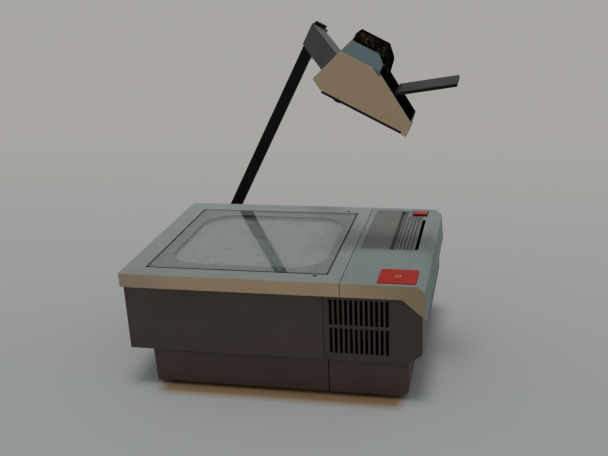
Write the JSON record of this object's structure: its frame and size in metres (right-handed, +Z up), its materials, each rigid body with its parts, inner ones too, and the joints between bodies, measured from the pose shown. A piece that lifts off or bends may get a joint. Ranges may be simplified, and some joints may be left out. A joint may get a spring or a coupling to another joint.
{
  "type": "overhead projector",
  "caption": "Overhead projector with a glass stage in a hinged lid, a louvred lamp housing with a control end, and a folding arm carrying a focusing head with a flap.",
  "frame": {"origin": "centre of the top face of the stage glass", "axes": "+Z up out of the glass, +X towards the control end with the red pad, +Y towards the side that the arm stands on"},
  "size_m": [0.5268, 0.4459, 0.5532],
  "materials": {
    "beige_plastic": "fine moulded texture",
    "dark_plastic": "fine moulded texture",
    "grip_grey": "matt",
    "red_plastic": "satin",
    "black_plastic": "matt",
    "gloss_black": "polished",
    "arm_black": "satin",
    "carriage_grey": "satin",
    "flap_grey": "matt",
    "clear_glass": "polished",
    "lens_plastic": "ringed",
    "mirror_coat": "polished",
    "plated_steel": "plated",
    "sheet_metal": "brushed",
    "brass_metal": "turned",
    "core_steel": "laminated",
    "copper_wire": "enamelled",
    "rubber_black": "matt",
    "white_ceramic": "unglazed"
  },
  "bodies": {
    "housing": {"control_cover": "beige_plastic", "left_housing": "dark_plastic", "right_housing": "dark_plastic", "left_base": "dark_plastic", "right_base": "dark_plastic", "grip_well": "grip_grey", "pad_switch": "black_plastic", "rocker_box": "black_plastic", "fan_frame": "black_plastic", "mains_inlet": "black_plastic", "clamp_knob": "black_plastic", "arm_bracket": "carriage_grey", "lamp": "clear_glass", "condenser_lens": "clear_glass", "reflector": "mirror_coat", "hinge_pin_near": "plated_steel", "hinge_pin_far": "plated_steel", "pivot_bolt": "plated_steel", "lamp_tray": "sheet_metal", "condenser_plate": "sheet_metal", "heat_shield": "sheet_metal", "inner_washer": "brass_metal", "outer_washer": "brass_metal", "transformer_core": "core_steel", "transformer_coil": "copper_wire", "foot_near_left": "rubber_black", "foot_near_right": "rubber_black", "foot_far_left": "rubber_black", "foot_far_right": "rubber_black", "lamp_holder": "white_ceramic"},
    "lid": {"stage_frame": "beige_plastic", "stage_glass": "clear_glass", "fresnel_lens": "lens_plastic", "lens_retainer": "sheet_metal", "lid_screw_near": "plated_steel", "lid_screw_far": "plated_steel"},
    "arm": {"arm_bar": "arm_black", "focus_rack": "plated_steel"},
    "carriage": {"carriage": "carriage_grey", "carriage_cap": "black_plastic", "head_shell": "beige_plastic", "head_cap": "gloss_black", "mouth_bezel": "gloss_black", "head_plate": "black_plastic", "head_latch": "black_plastic", "lens_barrel": "black_plastic", "lower_lens": "clear_glass", "lens_spacer": "black_plastic", "upper_lens": "clear_glass", "head_mirror": "mirror_coat", "mirror_bracket": "sheet_metal", "flap_pin": "plated_steel"},
    "focus_knob": {"focus_pinion": "brass_metal", "focus_knob": "black_plastic"},
    "flap": {"flap_frame": "black_plastic", "flap_panel": "flap_grey"},
    "power_pad": {"power_pad": "red_plastic"},
    "rocker": {"rocker_button": "red_plastic"},
    "fan_rotor": {"fan_rotor": "black_plastic"}
  },
  "joints": [
    {"name": "lid_hinge", "type": "hinge", "parent": "housing", "child": "lid", "pos_m": [-0.183, 0, -0.0179], "axis": [0, -1, 0], "range_deg": [0, 45]},
    {"name": "arm_fold", "type": "hinge", "parent": "housing", "child": "arm", "pos_m": [-0.15, 0.2315, -0.092], "axis": [0, 1, 0], "range_deg": [-27.35, 24]},
    {"name": "focus_slide", "type": "slide", "parent": "arm", "child": "carriage", "axis": [0.4594, 0, 0.8882], "range_m": [-0.012, 0.01]},
    {"name": "focus_knob_spin", "type": "hinge", "parent": "carriage", "child": "focus_knob", "pos_m": [0.07889, 0.2315, 0.30299], "axis": [0, -1, 0], "range_deg": [-95, 80]},
    {"name": "flap_hinge", "type": "hinge", "parent": "carriage", "child": "flap", "pos_m": [0.24508, 0, 0.26203], "axis": [0, 1, 0], "range_deg": [-12, 62]},
    {"name": "power_pad_press", "type": "slide", "parent": "housing", "child": "power_pad", "axis": [0, 0, -1], "range_m": [0, 0.0025], "stiffness_N_per_m": 500, "springref_m": -0.001},
    {"name": "rocker_tilt", "type": "hinge", "parent": "housing", "child": "rocker", "pos_m": [0.2675, 0.1665, -0.0054], "axis": [1, 0, 0], "range_deg": [0, 14]},
    {"name": "fan_spin", "type": "hinge", "parent": "housing", "child": "fan_rotor", "pos_m": [0.2034, -0.1737, -0.0813], "axis": [0, 1, 0], "continuous": true}
  ],
  "couplings": [
    {"joint": "focus_knob_spin", "follows": "focus_slide", "rad_per_m": 133.33}
  ]
}
